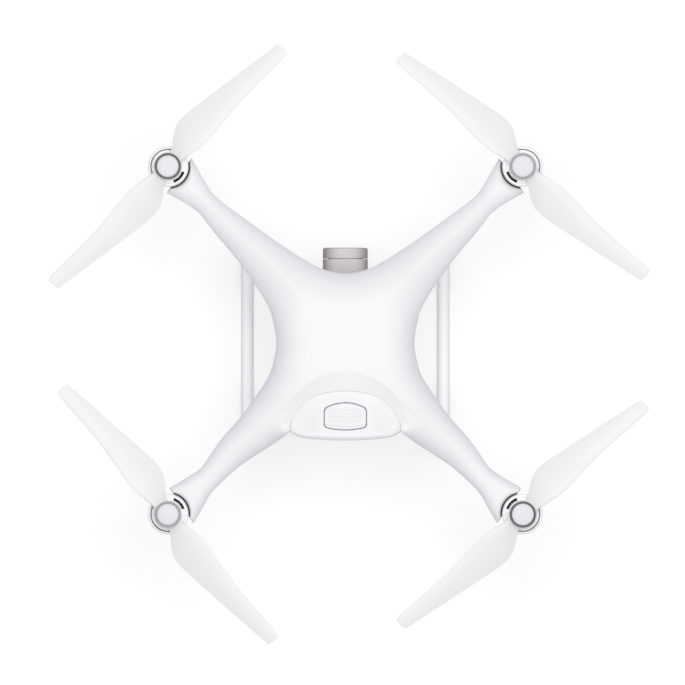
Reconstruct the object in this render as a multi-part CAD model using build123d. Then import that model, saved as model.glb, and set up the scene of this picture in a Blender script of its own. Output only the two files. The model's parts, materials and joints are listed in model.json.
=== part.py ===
from build123d import *
import math
import os

# Quadcopter drone with a fixed X airframe, in millimetres.
# The origin is on the ground under the centre of the airframe. +Z is up, the nose points along -Y,
# and the aircraft's own left side is +X.

# ---- driving dimensions ----
MOTOR_X = 124.9  # motor axes
MOTOR_Y = 122.5
TOTAL_HEIGHT = 196.0
PARTING_Z = 148.0  # joint line between the two shells
WALL = 2.0
GAP = 0.4

DOME_Z = 181.0  # top of the upper shell
ARM_TOP_Z = 160.0  # top of an arm at its motor
BELLY_Z = 108.0  # underside of the lower shell
ARM_BOTTOM_Z = 139.0  # underside of an arm at its motor
SIDE_R = 22.0  # plan width of the rounded sides of the body
NECK_R = 9.0  # the same where an arm is narrowest
SIDE_DEPTH = 0.68  # depth of a rounded side as a share of its width
COVER_DIP = 3.2  # how far the shell dips at the front edge of the battery's cover
COVER_R = 17.5
TAIL_R = 8.0  # rounding at the middle of the tail
COVE_Z = 131.0  # roof of the recess over the camera
COVE_Y = -14.0  # rear end of that recess

SEAT_R = 14.0  # round seat under each motor
SEAT_Z = 152.0
SEAT_BOTTOM = 137.0
POCKET_Z = 143.0  # floor of the concave pocket round each seat
BELL_R = 14.2
VENT_INNER = 10.3  # inner and outer radius of the curved vent in the bell's top
VENT_OUTER = 12.3
BELL_BOTTOM = 157.0
BELL_TOP = 178.0
SHAFT_R = 2.0
BORE_R = 2.05
FORK_R = 15.5  # concave end of an arm around its motor

PROP_R = 116.2
HUB_R = 9.6
HUB_BOTTOM = 180.2
HUB_TOP = 190.0
BLADE_Z = 186.0
RING_IN = 7.8
RING_OUT = 9.3
PRESS_TRAVEL = 1.5

BATTERY_HALF_X = 33.0  # part inside the bay
BATTERY_FRONT = -9.0
BATTERY_LOW = 112.5
BATTERY_HIGH = 152.0
BAY_GAP = 0.6

LATCH_HALF_X = 15.0
LATCH_FRONT = 43.8
LATCH_REAR = 63.2

SKID_X = 70.0
SKID_R = 4.5
SKID_Z = 6.5
SKID_HALF_Y = 76.0
LEG_TOP = (58.0, 55.0, 132.0)
SKID_BEND = 16.0
POD_HALF = (8.0, 8.0)
POD_BOTTOM = 108.0
VISION_Z = 116.0
PAD_HEIGHT = 3.5

CAMERA_Y = -42.0  # pitch axis
CAMERA_Z = 70.0  # pitch and roll axes
CAMERA_R = 16.0
CAMERA_FRONT = -65.8
CAMERA_BACK = -28.0
BEZEL_LENGTH = 7.6  # lens barrel in front of the camera housing
FILTER_R = 14.2
FILTER_DEPTH = 3.0
YAW_Y = -35.0
YAW_PLATE_Z = 102.0  # underside of the yaw arm's top plate
PIVOT_R = 2.5
PIVOT_BORE = 2.55

# name, side of X, side of Y, turn seen from above, resting angle of the blades in degrees
ROTORS = [
    ("fl", 1, -1, "clockwise", 45.6),
    ("fr", -1, -1, "counter", 138.4),
    ("rl", 1, 1, "counter", 130.1),
    ("rr", -1, 1, "clockwise", 41.8),
]
CORNERS = [(1, -1), (-1, -1), (1, 1), (-1, 1)]

# Outline of the shells, left half from the middle of the front edge to the middle of the rear edge.
FRONT_EDGE = [(0, -47.2), (17.9, -51.1), (32.0, -58.8), (53.2, -73.0), (81.4, -93.4), (92.0, -101.9),
              (95.5, -106.1), (108.6, -128.7)]
FRONT_SIDE = [(126.2, -104.3), (109.6, -94.8), (102.6, -89.2), (95.5, -80.0), (81.4, -63.1), (67.3, -44.7),
              (54.6, -24.3), (48.7, 3.0)]
REAR_SIDE = [(48.7, 3.0), (54.6, 26.3), (73.9, 54.4), (89.3, 72.1), (101.7, 89.9), (107.9, 94.5),
             (124.1, 104.2)]
REAR_EDGE = [(107.1, 129.2), (93.2, 106.1), (73.9, 88.3), (53.8, 75.2), (39.1, 64.5)]
TAIL_EDGE = [(39.1, 64.5), (32.0, 68.2), (17.9, 69.9), (0, 70.6)]
COVER_EDGE = [(39.1, 60.0), (32.0, 47.7), (21.4, 39.2), (0, 35.7)]  # front edge of the battery cover

FORK_FRONT = [FRONT_EDGE[-1], FRONT_SIDE[0]]  # straight ends of the arms, before the round cuts
FORK_REAR = [REAR_SIDE[-1], REAR_EDGE[0]]
HALF_RUNS = [FRONT_EDGE, FORK_FRONT, FRONT_SIDE, REAR_SIDE, FORK_REAR, REAR_EDGE, TAIL_EDGE]

ARM_SCREWS = [(sx * 88.0, sy * 87.0) for sx, sy in CORNERS]
SHELL_SCREWS = ARM_SCREWS + [(sx * 46.0, sy * 20.0) for sx, sy in CORNERS]
DOWNWARD_Y = (5.0, 27.0)
SONAR_X = (-18.0, 18.0)
SONAR_Y = 10.0
CHARGE_LIGHT_X = (-9.0, -3.0, 3.0, 9.0)
PORT_PANEL = (-18.0, -6.0, 117.0, 133.0)  # rear and front ends, bottom and top, on the left wall


# ---- helpers ----
def box(x0, x1, y0, y1, z0, z1):
    """A box between two corners."""
    size = (x1 - x0, y1 - y0, z1 - z0)
    middle = ((x0 + x1) / 2, (y0 + y1) / 2, (z0 + z1) / 2)
    return Pos(*middle) * Box(*size)


def disc(x, y, z0, z1, radius):
    """An upright cylinder from z0 to z1."""
    return Pos(x, y, (z0 + z1) / 2) * Cylinder(radius, z1 - z0)


def tube(x, y, z0, z1, outer, inner):
    """An upright tube from z0 to z1."""
    return disc(x, y, z0, z1, outer) - disc(x, y, z0 - 1, z1 + 1, inner)


def rod_x(x0, x1, y, z, radius):
    """A cylinder along X."""
    return Pos((x0 + x1) / 2, y, z) * Rot(0, 90, 0) * Cylinder(radius, x1 - x0)


def rod_y(x, y0, y1, z, radius):
    """A cylinder along Y."""
    return Pos(x, (y0 + y1) / 2, z) * Rot(90, 0, 0) * Cylinder(radius, y1 - y0)


def step(value, start, end):
    """Smooth step from 0 at start to 1 at end."""
    t = min(1.0, max(0.0, (value - start) / (end - start)))
    return t * t * (3 - 2 * t)


def mirrored(points):
    """The same points on the other side of the middle plane, in reverse order."""
    return [(-x, y) for x, y in reversed(points)]


# ---- shells ----
def inset_points(distance):
    """Each point of the left half outline, with the point that lies the distance inside it."""
    chain = [HALF_RUNS[0][0]]
    for run in HALF_RUNS:
        chain += run[1:]
    first = (-chain[1][0], chain[1][1])
    last = (-chain[-2][0], chain[-2][1])
    closed = [first] + chain + [last]
    moved = {}
    for before, point, after in zip(closed, closed[1:], closed[2:]):
        one = Vector(point[0] - before[0], point[1] - before[1]).normalized()
        two = Vector(after[0] - point[0], after[1] - point[1]).normalized()
        inward = Vector(-one.Y - two.Y, one.X + two.X) * (distance / (1 + one.dot(two)))
        moved[point] = (point[0] + inward.X, point[1] + inward.Y)
    return moved


def outline(inset=0.0):
    """The X-shaped plan outline of both shells, battery cover included, made smaller by the inset."""
    moved = inset_points(inset)
    runs = [[moved[point] for point in run] for run in HALF_RUNS]
    edges = []
    for run in runs + [mirrored(run) for run in reversed(runs)]:
        edges.append(Spline(*run) if len(run) > 2 else Line(*run))
    return make_face(Wire(edges)).face()


def samples(runs, count=24):
    """Points along both sides' splines through the runs of points."""
    points = []
    for run in runs:
        curve = Spline(*run)
        for k in range(count + 1):
            spot = curve @ (k / count)
            points += [(spot.X, spot.Y), (-spot.X, spot.Y)]
    return points


SIDE_SAMPLES = samples([FRONT_EDGE, FRONT_SIDE, REAR_SIDE, REAR_EDGE, TAIL_EDGE])
COVER_SAMPLES = samples([COVER_EDGE])


def nearest(points, x, y):
    """Distance from x, y to the nearest of the points."""
    return min(math.hypot(x - px, y - py) for px, py in points)


def inside_outline(x, y):
    """Whether x, y lies within the plan outline, told by the runs at that x."""
    half = [point for run in HALF_RUNS for point in run]
    crossings = 0
    for (x0, y0), (x1, y1) in zip(half, half[1:]):
        if (y0 > y) != (y1 > y) and abs(x) < x0 + (x1 - x0) * (y - y0) / (y1 - y0):
            crossings += 1
    return crossings % 2 == 1


def edge_profile(share, crease):
    """Fall of a rounded edge, from 1 at the edge to 0 where the share of its width reaches 1."""
    if share >= 1:
        return 0.0
    round_part = 1 - math.sqrt(1 - (1 - share) ** 2)
    return crease * (1 - share) + (1 - crease) * round_part


def top_height(x, y):
    """Height of the upper surface: a dome along four arms, falling to rounded sides.

    A crease runs round the front apron, and the surface dips to the battery's cover."""
    along = (math.hypot(x, 14) + math.hypot(y, 14)) / math.sqrt(2)
    z = DOME_Z - (DOME_Z - ARM_TOP_Z) * step(along, 24, 150)
    radius = min(SIDE_R, NECK_R + 0.21 * max(0.0, 137 - along))
    edge = nearest(SIDE_SAMPLES, x, y) if inside_outline(x, y) else 0.0
    cover = nearest(COVER_SAMPLES, x, y)
    dip = COVER_DIP * (1 - step(cover, 0, COVER_R))
    if y > 34 and abs(x) < 40 and y > 35.7 + 0.0159 * x * x:
        dip = COVER_DIP * (1 - 0.7 * step(cover, 0, 14))
        radius = TAIL_R + (SIDE_R - TAIL_R) * step(abs(x), 22, 38)
    crease = 0.1 + 0.25 * step(-y, 5, 35)
    side = SIDE_DEPTH * radius * edge_profile(edge / radius, crease)
    return z - max(side, dip)


def bottom_height(x, y):
    """Height of the lower surface: a flat belly that steps up to the arms and over the camera."""
    along = (abs(x) + abs(y)) / math.sqrt(2)
    z = BELLY_Z + (ARM_BOTTOM_Z - BELLY_Z) * step(max(along, abs(y) + 6), 62, 96)
    cove = step(COVE_Y - y, 0, 9) * (1 - step(abs(x), 34, 46))
    return max(z, BELLY_Z + (COVE_Z - BELLY_Z) * cove)


def surface_block(height, lift, depth):
    """A block whose upper (depth below zero) or lower surface follows a height function."""
    span = 144
    count = 49
    grid = []
    for i in range(count):
        y = -span + 2 * span * i / (count - 1)
        grid.append([(-span + 2 * span * j / (count - 1), y,
                      height(-span + 2 * span * j / (count - 1), y) + lift) for j in range(count)])
    surface = Face.make_surface_from_array_of_points(grid, tol=0.1, smoothing=(1, 1, 1), max_deg=5)
    return Solid.extrude(surface, Vector(0, 0, depth))


def battery_cover_plan(margin):
    """Plan of the battery's exposed rear end, larger than the case by the margin."""
    front = [(x + (margin if x else 0), y - margin) for x, y in COVER_EDGE]
    corner = front[0]
    far = 90
    edges = [Spline(*front), Spline(*mirrored(front))]
    edges.append(Line(corner, (corner[0], far)))
    edges.append(Line((corner[0], far), (-corner[0], far)))
    edges.append(Line((-corner[0], far), (-corner[0], corner[1])))
    return make_face(Wire(edges)).face()


def prism(face, z0, z1):
    """A plan face as a solid from z0 to z1."""
    return Pos(0, 0, z0) * Solid.extrude(face, Vector(0, 0, z1 - z0))


def battery_space():
    """The room that the battery fills and slides out through."""
    bay = box(-BATTERY_HALF_X - BAY_GAP, BATTERY_HALF_X + BAY_GAP, BATTERY_FRONT - BAY_GAP, 100,
              BATTERY_LOW - BAY_GAP, BATTERY_HIGH + BAY_GAP)
    return bay + prism(battery_cover_plan(GAP), 100, 200)


def motor_holes():
    """Shaft and wire holes through each motor seat."""
    holes = []
    for _, side_x, side_y, _, _ in ROTORS:
        x, y = side_x * MOTOR_X, side_y * MOTOR_Y
        holes.append(disc(x, y, 130, 170, 5.2))
        for turn in range(4):
            angle = math.radians(45 + 90 * turn)
            holes.append(disc(x + 9.5 * math.cos(angle), y + 9.5 * math.sin(angle), 130, 170, 1.6))
    return holes


def motor_seat(x, y):
    """Round hollow seat that a motor stands on."""
    return disc(x, y, SEAT_BOTTOM, SEAT_Z, SEAT_R) - disc(x, y, SEAT_BOTTOM + WALL, SEAT_Z - 3, SEAT_R - WALL)


def shells():
    """Upper and lower shell, and the outer form that the battery's end is cut from."""
    outer = outline()
    inner = outline(WALL)
    roof = surface_block(top_height, 0, -90)
    roof_in = surface_block(top_height, -WALL, -90)
    floor = surface_block(bottom_height, 0, 90)
    floor_in = surface_block(bottom_height, WALL, 90)
    form = prism(outer, 100, 190) & roof & floor
    cavity = prism(inner, 100, 190) & roof_in & floor_in
    plugs = [disc(sx * MOTOR_X, sy * MOTOR_Y, 100, 190, FORK_R + WALL) for sx, sy in CORNERS]
    hollow = form - (cavity - plugs)
    space = battery_space()
    bells = [disc(sx * MOTOR_X, sy * MOTOR_Y, POCKET_Z, 200, FORK_R) for sx, sy in CORNERS]
    upper = hollow & box(-200, 200, -200, 200, PARTING_Z, 200)
    posts = [disc(x, y, PARTING_Z, top_height(x, y) - WALL / 2, 3.2) for x, y in SHELL_SCREWS]
    screw_holes = [disc(x, y, PARTING_Z - 1, 158, 1.2) for x, y in SHELL_SCREWS]
    upper = (upper + posts) - ([space] + bells + screw_holes)
    lower = hollow & box(-200, 200, -200, 200, 90, PARTING_Z)
    posts = [disc(x, y, bottom_height(x, y) + WALL / 2, PARTING_Z, 3.4) for x, y in SHELL_SCREWS]
    lower = (lower + posts) - ([space] + bells)
    seats = [motor_seat(sx * MOTOR_X, sy * MOTOR_Y) for sx, sy in CORNERS]
    holes = [disc(x, y, 90, 160, 1.3) for x, y in SHELL_SCREWS]
    holes += [disc(x, y, 90, 142, 2.4) for x, y in SHELL_SCREWS]
    lower = (lower + seats) - (holes + motor_holes() + lower_cuts())
    return upper, lower, form


def lower_cuts():
    """Openings in the lower shell for sensors, ports, lights and the gimbal wiring."""
    cuts = []
    for y in DOWNWARD_Y:
        cuts.append(disc(0, y, 100, 112, 6.1))
    for x in SONAR_X:
        cuts.append(disc(x, SONAR_Y, 100, 112, 8.1))
    for side in (1, -1):
        cuts.append(box(side * 49 - 9, side * 49 + 9, -4.1, 10.1, 134.9, 143.1))
        for end in (1, -1):
            x, y = side * 103.0, end * 101.0
            cuts.append(disc(x, y, 130, 145, 4.1))
    y0, y1, z0, z1 = PORT_PANEL
    cuts.append(box(40, 60, y0 - 0.1, y1 + 0.1, z0 - 0.1, z1 + 0.1))
    cuts.append(disc(0, YAW_Y, 120, 145, 6.0))
    return cuts


def rod_between(start, end, radius):
    """A cylinder between two points."""
    line = Vector(*end) - Vector(*start)
    plane = Plane(origin=(Vector(*start) + line * 0.5), z_dir=line)
    return plane * Cylinder(radius, line.length)


# ---- airframe pieces ----
def chassis():
    """Metal cage round the battery bay, with standoffs for the main board."""
    top = box(-37, 37, -33, 30, 153.4, 155.4)
    sides = box(35, 37, -11, 30, 110.2, 155.4) + box(-37, -35, -11, 30, 110.2, 155.4)
    front = box(-37, 37, -33, -31, 137, 155.4)
    cage = top + sides + front
    for x in (-20, 0, 20):
        for y in (-16, 12):
            cage -= disc(x, y, 150, 160, 6)
    for x in (-29, 29):
        for y in (-25, 22):
            cage += disc(x, y, 155.4, 160, 2.5)
    for side in (1, -1):
        for y in (-1, 17):
            cage -= rod_x(side * 36 - 3, side * 36 + 3, y, 132, 7)
    return cage


def main_board():
    """Flight controller board with its shielded chips."""
    board = box(-32, 32, -28, 25, 160, 161.6)
    for x0, x1, y0, y1, height in [(-26, -4, -20, -2, 2.0), (4, 24, -22, -6, 2.4), (-14, 14, 0, 18, 2.4),
                                   (20, 28, 2, 18, 1.6), (-28, -20, 4, 20, 1.6)]:
        board += box(x0, x1, y0, y1, 161.6, 161.6 + height)
    return board


def speed_controller(side):
    """One motor speed controller board on the side of the cage, with its power chips."""
    board = box(37.1, 38.7, -11, 27, 122, 148)
    for y in (-10, -1, 8, 17):
        board += box(38.7, 41.5, y, y + 6.5, 138, 146)
    board += box(38.7, 42.5, -9, 12, 125, 135)
    return board if side > 0 else mirror(board, about=Plane.YZ)


def gps_module():
    """Satellite receiver under the dome: a ceramic patch on a round-cornered base."""
    base = box(-15, 15, -6, 24, 164.1, 166)
    patch = box(-12.5, 12.5, -3.5, 21.5, 166, 171)
    return base + patch


def stator(x, y):
    """Fixed half of a motor: base plate with a flange into the arm's fork, bearing tube and twelve teeth."""
    flange = disc(x, y, SEAT_Z, SEAT_Z + 2.5, FORK_R - 0.3) & prism(outline(), SEAT_Z - 2, SEAT_Z + 5)
    base = disc(x, y, SEAT_Z, SEAT_Z + 2.5, SEAT_R) + flange
    core = tube(x, y, 158, 169, 6.5, 4.6)
    tube_body = tube(x, y, SEAT_Z - 2, 171, 5.0, 4.0)
    body = base + core + tube_body
    for turn in range(12):
        tooth = Pos(x, y, 163.5) * Rot(0, 0, 30 * turn) * Pos(8.2, 0, 0) * Box(5.0, 2.4, 9)
        tip = Pos(x, y, 163.5) * Rot(0, 0, 30 * turn) * Pos(10.7, 0, 0) * Box(1.0, 4.4, 10)
        body += tooth + tip
    body -= disc(x, y, SEAT_Z - 5, 175, 4.0)
    for turn in range(4):
        angle = math.radians(45 + 90 * turn)
        body -= disc(x + 9.5 * math.cos(angle), y + 9.5 * math.sin(angle), SEAT_Z - 1, SEAT_Z + 3, 1.45)
    return body


def motor_bearings():
    """Two bearings in each motor's tube."""
    rings = []
    for _, sx, sy, _, _ in ROTORS:
        for z in (152.0, 166.0):
            rings.append(tube(sx * MOTOR_X, sy * MOTOR_Y, z, z + 4, 4.0, BORE_R))
    return Compound(rings)


def motor_screws():
    """Four screws up through each motor seat."""
    screws = []
    for _, sx, sy, _, _ in ROTORS:
        for turn in range(4):
            angle = math.radians(45 + 90 * turn)
            x = sx * MOTOR_X + 9.5 * math.cos(angle)
            y = sy * MOTOR_Y + 9.5 * math.sin(angle)
            screw = disc(x, y, 149 - 1.8, 149, 2.4) + disc(x, y, 149, SEAT_Z + 2.3, 1.35)
            screws.append(screw - box(x - 0.4, x + 0.4, y - 1.5, y + 1.5, 147, 148))
    return Compound(screws)


def shell_screws():
    """Screws that hold the two shells together from below."""
    screws = []
    for x, y in SHELL_SCREWS:
        head = disc(x, y, 139.5, 141.9, 2.2) - box(x - 0.4, x + 0.4, y - 1.6, y + 1.6, 139, 140.6)
        screws.append(head + disc(x, y, 141.9, 157, 1.15))
    return Compound(screws)


def leg_line(side, end, level):
    """Point on the centre line of a leg at a height."""
    part = (LEG_TOP[2] - level) / (LEG_TOP[2] - SKID_Z)
    x = LEG_TOP[0] + (SKID_X - LEG_TOP[0]) * part
    y = LEG_TOP[1] + (SKID_HALF_Y - LEG_TOP[1]) * part
    return (side * x, end * y, level)


def antenna_line(side, end):
    """Lower and upper end of the radio antenna in a leg."""
    return leg_line(side, end, 40), leg_line(side, end, 100)


def landing_gear(side, form):
    """One skid with its two legs and the sensor pods at their tops."""
    points = [leg_line(side, -1, LEG_TOP[2]), leg_line(side, -1, SKID_Z), leg_line(side, 1, SKID_Z),
              leg_line(side, 1, LEG_TOP[2])]
    path = FilletPolyline(*points, radius=SKID_BEND)
    gear = sweep(Plane(origin=path @ 0, z_dir=path % 0) * Circle(SKID_R), path=path)
    for end in (1, -1):
        x, y = side * (LEG_TOP[0] + 2), end * (LEG_TOP[1] + 2)
        pod = box(x - POD_HALF[0], x + POD_HALF[0], y - POD_HALF[1], y + POD_HALF[1], POD_BOTTOM, 134)
        pod = fillet(pod.edges().filter_by(Axis.Z), 4)
        gear += pod
    gear = gear - form
    for end in (1, -1):
        x, y = side * (LEG_TOP[0] + 2), end * (LEG_TOP[1] + 2)
        face = y + end * POD_HALF[1]
        gear -= rod_y(x, face - 2.5, face + 2.5, VISION_Z, 5.0)
        start, stop = antenna_line(side, end)
        gear -= rod_between(start, stop, 1.5)
    return gear.solids().sort_by(SortBy.VOLUME)[-1]


def vision_lenses(end):
    """The pair of stereo lenses that look forwards or backwards from the leg pods."""
    lenses = []
    for side in (1, -1):
        x = side * (LEG_TOP[0] + 2)
        face = end * (LEG_TOP[1] + 2 + POD_HALF[1])
        ring = rod_y(x, min(face - end * 2.5, face - end * 0.3), max(face - end * 2.5, face - end * 0.3),
                     VISION_Z, 4.95)
        dome = rod_y(x, min(face - end * 0.3, face + end * 0.5), max(face - end * 0.3, face + end * 0.5),
                     VISION_Z, 3.0)
        lenses.append(ring + dome)
    return Compound(lenses)


def skid_pads():
    """Rubber pads under the skids."""
    pads = []
    for side in (1, -1):
        for y in (-48, 48):
            pad = box(side * SKID_X - 3.6, side * SKID_X + 3.6, y - 14, y + 14, 0, PAD_HEIGHT)
            pad = fillet(pad.edges().filter_by(Axis.Z), 2.5)
            pads.append(pad - rod_y(side * SKID_X, y - 20, y + 20, SKID_Z, SKID_R))
    return Compound(pads)


def gear_screws():
    """Screws that hold each leg pod to the lower shell."""
    screws = []
    for side, end in CORNERS:
        x, y = side * (LEG_TOP[0] - 3), end * (LEG_TOP[1] - 2.5)
        screws.append(disc(x, y, POD_BOTTOM - 1.4, POD_BOTTOM, 2.2))
    return Compound(screws)


def leg_antennas():
    """Radio antennas inside the legs."""
    rods = [rod_between(*antenna_line(side, end), 1.4) for side, end in CORNERS]
    return Compound(rods)


def downward_lenses():
    """The pair of lenses that look down from the belly."""
    return Compound([disc(0, y, BELLY_Z - 0.4, BELLY_Z + 3, 5.9) for y in DOWNWARD_Y])


def sonar_sensors():
    """The pair of ultrasonic height sensors in the belly."""
    return Compound([disc(x, SONAR_Y, BELLY_Z - 0.2, BELLY_Z + 3.6, 7.9) for x in SONAR_X])


def infrared_windows():
    """Dark windows for the side range sensors in the waist of the lower shell."""
    windows = []
    for side in (1, -1):
        x0, x1 = sorted((side * 46.5, side * 48.4))
        windows.append(box(x0, x1, -4, 10, 135, 143))
    return Compound(windows)


def arm_lights(end):
    """Clear light covers under the arm ends."""
    return Compound([disc(side * 103.0, end * 101.0, 138.6, 141.5, 4.0) for side in (1, -1)])


def port_panel():
    """Panel in the left wall with its socket slots and button hole."""
    y0, y1, z0, z1 = PORT_PANEL
    wall = prism(outline(), z0, z1) - prism(outline(1.6), z0 - 1, z1 + 1)
    panel = wall & box(40, 60, y0, y1, z0, z1)
    panel -= box(40, 60, -15.5, -8.5, 119.5, 122.5)
    panel -= box(40, 60, -17, -7, 125.2, 126.8)
    return panel - rod_x(40, 60, -12, 130, 2.3)


def data_sockets():
    """Metal shells of the data socket and the card slot behind the panel."""
    usb = box(42.6, 47.2, -16, -8, 119, 123) - box(43.6, 50, -15.3, -8.7, 119.7, 122.3)
    card = box(42.6, 47.2, -17.4, -6.6, 124.7, 127.3) - box(43.6, 50, -16.8, -7.2, 125.3, 126.7)
    return Compound([usb, card])


def bay_contacts():
    """Contact block that the battery's connector meets."""
    block = box(-14, 14, -17.9, -12.4, 138, 148)
    for x in (-9, -3, 3, 9):
        block += box(x - 0.8, x + 0.8, -12.4, -10.4, 140, 146)
    return block


def damper_plate():
    """Plate that carries the gimbal on its four rubber dampers."""
    plate = box(-24, 24, -46.5, -24, 122, 124)
    plate = fillet(plate.edges().filter_by(Axis.Z), 5)
    return plate - disc(0, YAW_Y, 120, 126, 4)


def gimbal_dampers():
    """Rubber balls between the damper plate and the roof of the cove."""
    profile = Polyline((0, 124), (3, 124), (4.6, 126), (4.6, 128.6), (3, 130.6), (0, 130.6), close=True)
    ball = revolve(Plane.XZ * make_face(profile), Axis.Z)
    balls = [Pos(x, y, 0) * ball for x in (-19, 19) for y in (-42.0, -28.0)]
    return Compound(balls)


def yaw_motor():
    """Housing of the yaw motor under the damper plate, bored for the arm's pivot."""
    body = disc(0, YAW_Y, 107, 122, 12)
    body = fillet(body.edges().filter_by(GeomType.CIRCLE).sort_by(Axis.Z)[0], 1.5)
    return body - disc(0, YAW_Y, 100, 115, PIVOT_BORE)


# ---- rotors ----
def bell(x, y):
    """Turning half of a motor: cup, top plate with a groove and one vent, boss and shaft."""
    cup = disc(x, y, BELL_BOTTOM, BELL_TOP, BELL_R)
    cup = fillet(cup.edges().filter_by(GeomType.CIRCLE).sort_by(Axis.Z)[-1], 1.2)
    cup -= disc(x, y, BELL_BOTTOM - 1, BELL_TOP - 2.5, 13.0)
    cup -= tube(x, y, BELL_TOP - 0.8, BELL_TOP + 2, 12.4, 11.7)
    inward = math.degrees(math.atan2(-y, -x))
    wedge = Polyline((0, 0), (20, -9.5), (20, 9.5), close=True)
    wedge = Solid.extrude(make_face(wedge).face(), Vector(0, 0, 8))
    wedge = Pos(x, y, BELL_TOP - 4) * Rot(0, 0, inward) * wedge
    cup -= tube(x, y, BELL_TOP - 4, BELL_TOP + 2, VENT_OUTER, VENT_INNER) & wedge
    cup += disc(x, y, BELL_TOP - 1, 184, 4.5)
    cup += disc(x, y, 151, BELL_TOP, SHAFT_R)
    return cup


def blade(lead):
    """One blade along +X; lead is the side of Y that its leading edge is on."""
    sections = []
    # radius, trailing edge, leading edge, thickness, pitch in degrees
    for r, trail, front, thick, pitch in [(6.8, -4.4, 3.9, 5.0, 18), (18.1, -11.7, 5.7, 3.4, 19),
                                          (30.1, -16.9, 7.4, 2.6, 17), (46.7, -15.4, 6.2, 2.1, 14),
                                          (65.1, -12.6, 4.9, 1.8, 11), (89.4, -9.1, 4.7, 1.5, 9),
                                          (108.9, -6.0, 4.9, 1.2, 7), (PROP_R, -4.7, 3.9, 0.9, 6)]:
        middle = lead * (trail + front) / 2
        tilt = math.radians(pitch)
        plane = Plane(origin=(r, middle, BLADE_Z), x_dir=(0, lead * math.cos(tilt), math.sin(tilt)),
                      z_dir=(1, 0, 0))
        sections.append(plane * Ellipse((front - trail) / 2 / math.cos(tilt), thick / 2))
    return loft(sections)


def propeller(x, y, turn, angle):
    """Hub and two blades, moulded as one, over the boss of its bell."""
    lead = -1 if turn == "clockwise" else 1
    hub = disc(0, 0, HUB_BOTTOM, HUB_TOP, HUB_R)
    one = blade(lead)
    body = hub + one + Rot(0, 0, 180) * one
    cap = disc(0, 0, HUB_TOP - 1, TOTAL_HEIGHT, RING_IN - 0.05)
    cap = fillet(cap.edges().filter_by(GeomType.CIRCLE).sort_by(Axis.Z)[-1], 1.4)
    body += cap
    body -= disc(0, 0, 170, 186.5, 4.8)
    return Pos(x, y, 0) * Rot(0, 0, angle) * body


# ---- gimbal ----
def yaw_arm():
    """Arm from the yaw motor back and down to the roll motor."""
    rear = CAMERA_Y + 41
    plate = box(-9, 9, YAW_Y, rear, YAW_PLATE_Z, YAW_PLATE_Z + 4)
    plate += disc(0, YAW_Y, YAW_PLATE_Z, YAW_PLATE_Z + 4, 12)
    post = box(-9, 9, rear - 4, rear, 62, YAW_PLATE_Z + 4) + rod_y(0, rear - 4, rear, CAMERA_Z, 11)
    pivot = disc(0, YAW_Y, YAW_PLATE_Z, 112, PIVOT_R)
    return plate + post + pivot


def roll_motor():
    """Housing of the roll motor, bored for the roll arm's pivot."""
    front = CAMERA_Y + 25.5
    body = rod_y(0, front, front + 11.5, CAMERA_Z, 10)
    return body - rod_y(0, front - 8, front + 6.5, CAMERA_Z, PIVOT_BORE)


def roll_arm():
    """Bent arm from the roll motor round to the pitch motor at the camera's left side."""
    rear = CAMERA_Y + 25
    back = box(-9, 28, rear - 4, rear, 62, 78) + rod_y(0, rear - 4, rear, CAMERA_Z, 10)
    side = box(24, 28, CAMERA_Y, rear, 62, 78) + rod_x(24, 28, CAMERA_Y, CAMERA_Z, 8.5)
    pivot = rod_y(0, rear - 2, rear + 6.5, CAMERA_Z, PIVOT_R)
    return back + side + pivot


def pitch_motor():
    """Housing of the pitch motor, bored for the camera's pivot."""
    body = rod_x(18.2, 24, CAMERA_Y, CAMERA_Z, 8.5)
    return body - rod_x(17, 22.2, CAMERA_Y, CAMERA_Z, PIVOT_BORE)


def camera_housing():
    """Rounded metal housing behind the lens, with its pitch pivot."""
    front = CAMERA_FRONT + BEZEL_LENGTH + 0.4
    body = box(-CAMERA_R, CAMERA_R, front, CAMERA_BACK, CAMERA_Z - CAMERA_R, CAMERA_Z + CAMERA_R)
    body = fillet(body.edges().filter_by(Axis.Y), 12)
    body = fillet(body.edges().group_by(Axis.Y)[-1], 5)
    body -= rod_y(0, front - 1, front + 16, CAMERA_Z, 12.5)
    return body + rod_x(15, 21.8, CAMERA_Y, CAMERA_Z, PIVOT_R)


def lens_barrel():
    """Round front of the camera with the filter seat."""
    back = CAMERA_FRONT + BEZEL_LENGTH
    ring = rod_y(0, CAMERA_FRONT, back, CAMERA_Z, CAMERA_R)
    ring = fillet(ring.edges().filter_by(GeomType.CIRCLE).sort_by(Axis.Y)[0], 1.5)
    ring += rod_y(0, back - 1, back + 12, CAMERA_Z, 12.4)
    ring -= rod_y(0, CAMERA_FRONT - 1, CAMERA_FRONT + FILTER_DEPTH, CAMERA_Z, FILTER_R)
    return ring - rod_y(0, CAMERA_FRONT - 1, CAMERA_FRONT + 6, CAMERA_Z, 10.5)


def lens_glass():
    """Front lens with a shallow dome."""
    face = CAMERA_FRONT + 3.4
    ball = Pos(0, face + 22, CAMERA_Z) * Sphere(22)
    return rod_y(0, face - 1, CAMERA_FRONT + 6, CAMERA_Z, 10.4) & ball


# ---- battery ----
def latch_plan(margin):
    """Plan of a battery latch: a rectangle with rounded corners and an arched front edge."""
    half = LATCH_HALF_X + margin
    rear = LATCH_REAR + margin
    front = LATCH_FRONT - margin
    arch = ThreePointArc((-half, front + 2), (0, front), (half, front + 2))
    edges = [arch, Line((half, front + 2), (half, rear)), Line((half, rear), (-half, rear)),
             Line((-half, rear), (-half, front + 2))]
    return make_face(Wire(edges)).face()


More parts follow.
